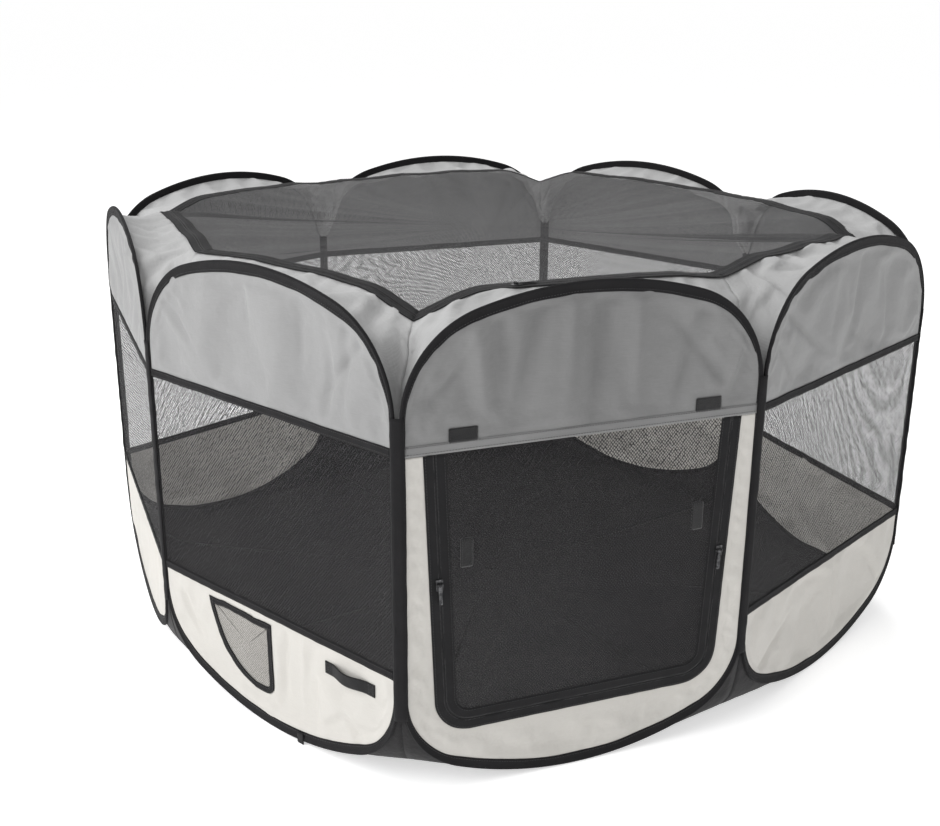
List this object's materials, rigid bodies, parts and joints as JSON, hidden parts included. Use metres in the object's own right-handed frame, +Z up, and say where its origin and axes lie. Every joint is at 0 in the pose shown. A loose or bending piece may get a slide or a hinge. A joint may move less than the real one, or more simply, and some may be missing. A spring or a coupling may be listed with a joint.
{
  "type": "pet playpen",
  "caption": "Free-standing pop-up pet playpen: hinged wire-hoop panels with mesh windows, a zipped mesh door, a cloth floor and a zip-on mesh top.",
  "frame": {"origin": "on the ground at the middle of the pen", "axes": "+Z up; the door panel faces -Y; panels are numbered clockwise from it, seen from above"},
  "size_m": [1.1302, 1.1332, 0.6399],
  "materials": {
    "spring_wire": "bright spring steel",
    "binding_black": "matte woven binding",
    "oxford_grey": "coated oxford weave",
    "oxford_offwhite": "coated oxford weave",
    "window_mesh": "open knitted mesh",
    "zip_tape": "woven zip tape",
    "zip_coil": "nylon coil",
    "slider_metal": "black painted die casting",
    "hook_and_loop": "hook and loop pile",
    "webbing": "woven webbing",
    "floor_cloth": "coated oxford weave",
    "collar_cloth": "coated oxford weave",
    "top_mesh": "fine sheer mesh"
  },
  "bodies": {
    "panel_1": {"hoop_wire_1": "spring_wire", "binding_1": "binding_black", "upper_cloth_1": "oxford_grey", "lower_cloth_1": "oxford_offwhite", "door_zip_tape": "zip_tape", "door_zip_coil": "zip_coil", "hem_tabs": "hook_and_loop", "floor_sheet": "floor_cloth", "shoulder_collar": "collar_cloth", "top_zip_tapes": "zip_tape", "top_zip_coil": "zip_coil", "top_mesh": "top_mesh"},
    "panel_2": {"hoop_wire_2": "spring_wire", "binding_2": "binding_black", "upper_cloth_2": "oxford_grey", "lower_cloth_2": "oxford_offwhite", "mesh_window_2": "window_mesh", "vent_mesh": "window_mesh", "vent_binding": "binding_black", "webbing_strap": "webbing", "ground_tab": "webbing"},
    "panel_3": {"hoop_wire_3": "spring_wire", "binding_3": "binding_black", "upper_cloth_3": "oxford_grey", "lower_cloth_3": "oxford_offwhite", "mesh_window_3": "window_mesh"},
    "panel_4": {"hoop_wire_4": "spring_wire", "binding_4": "binding_black", "upper_cloth_4": "oxford_grey", "lower_cloth_4": "oxford_offwhite", "mesh_window_4": "window_mesh"},
    "panel_5": {"hoop_wire_5": "spring_wire", "binding_5": "binding_black", "upper_cloth_5": "oxford_grey", "lower_cloth_5": "oxford_offwhite", "mesh_window_5": "window_mesh"},
    "panel_6": {"hoop_wire_6": "spring_wire", "binding_6": "binding_black", "upper_cloth_6": "oxford_grey", "lower_cloth_6": "oxford_offwhite", "mesh_window_6": "window_mesh"},
    "panel_7": {"hoop_wire_7": "spring_wire", "binding_7": "binding_black", "upper_cloth_7": "oxford_grey", "lower_cloth_7": "oxford_offwhite", "mesh_window_7": "window_mesh"},
    "panel_8": {"hoop_wire_8": "spring_wire", "binding_8": "binding_black", "upper_cloth_8": "oxford_grey", "lower_cloth_8": "oxford_offwhite", "mesh_window_8": "window_mesh"},
    "door": {"door_mesh": "window_mesh", "door_edge_tape": "zip_tape", "door_pads": "hook_and_loop"},
    "left_slider": {"door_slider_left": "slider_metal"},
    "left_pull": {"door_pull_left": "slider_metal"},
    "right_slider": {"door_slider_right": "slider_metal"},
    "right_pull": {"door_pull_right": "slider_metal"},
    "ring_slider": {"top_slider": "slider_metal"},
    "ring_pull": {"top_pull": "slider_metal"}
  },
  "joints": [
    {"name": "fold_1_2", "type": "hinge", "parent": "panel_1", "child": "panel_2", "pos_m": [-0.34393, -0.55908, 0], "axis": [0, 0, -1], "range_deg": [0, 110], "deforming": ["floor_sheet", "shoulder_collar", "top_zip_tapes", "top_zip_coil", "top_mesh", "top_slider", "top_pull"]},
    {"name": "fold_2_3", "type": "hinge", "parent": "panel_2", "child": "panel_3", "pos_m": [-0.56408, -0.13439, 0], "axis": [0, 0, 1], "range_deg": [0, 110]},
    {"name": "fold_3_4", "type": "hinge", "parent": "panel_3", "child": "panel_4", "pos_m": [-0.55908, 0.34393, 0], "axis": [0, 0, -1], "range_deg": [0, 110]},
    {"name": "fold_4_5", "type": "hinge", "parent": "panel_4", "child": "panel_5", "pos_m": [-0.13439, 0.56408, 0], "axis": [0, 0, 1], "range_deg": [0, 110]},
    {"name": "fold_1_8", "type": "hinge", "parent": "panel_1", "child": "panel_8", "pos_m": [0.13439, -0.56408, 0], "axis": [0, 0, -1], "range_deg": [0, 110]},
    {"name": "fold_8_7", "type": "hinge", "parent": "panel_8", "child": "panel_7", "pos_m": [0.55908, -0.34393, 0], "axis": [0, 0, 1], "range_deg": [0, 110]},
    {"name": "fold_7_6", "type": "hinge", "parent": "panel_7", "child": "panel_6", "pos_m": [0.56408, 0.13439, 0], "axis": [0, 0, -1], "range_deg": [0, 110]},
    {"name": "door_lift", "type": "hinge", "parent": "panel_1", "child": "door", "pos_m": [-0.10477, -0.56248, 0.4512], "axis": [-1, 0, 0], "range_deg": [0, 120]},
    {"name": "left_slider_slide", "type": "slide", "parent": "panel_1", "child": "left_slider", "axis": [-0.0407, 0, 0.9992], "range_m": [-0.1411, 0.1531]},
    {"name": "left_pull_flip", "type": "hinge", "parent": "left_slider", "child": "left_pull", "pos_m": [-0.29421, -0.56648, 0.289], "axis": [-0.9992, 0, -0.0407], "range_deg": [0, 150]},
    {"name": "right_slider_slide", "type": "slide", "parent": "panel_1", "child": "right_slider", "axis": [0.0407, 0, 0.9992], "range_m": [-0.1241, 0.1701]},
    {"name": "right_pull_flip", "type": "hinge", "parent": "right_slider", "child": "right_pull", "pos_m": [0.08398, -0.56648, 0.272], "axis": [-0.9992, 0, 0.0407], "range_deg": [0, 150]},
    {"name": "ring_slider_slide", "type": "slide", "parent": "panel_1", "child": "ring_slider", "axis": [1, 0, 0], "range_m": [-0.04, 0.16]},
    {"name": "ring_pull_flip", "type": "hinge", "parent": "ring_slider", "child": "ring_pull", "pos_m": [-0.16577, -0.47318, 0.6218], "axis": [0, -1, 0], "range_deg": [0, 150]}
  ],
  "couplings": [
    {"joint": "fold_2_3", "follows": "fold_1_2", "ratio": 1},
    {"joint": "fold_3_4", "follows": "fold_1_2", "ratio": 1},
    {"joint": "fold_4_5", "follows": "fold_1_2", "ratio": 1},
    {"joint": "fold_1_8", "follows": "fold_1_2", "ratio": 1},
    {"joint": "fold_8_7", "follows": "fold_1_2", "ratio": 1},
    {"joint": "fold_7_6", "follows": "fold_1_2", "ratio": 1}
  ]
}
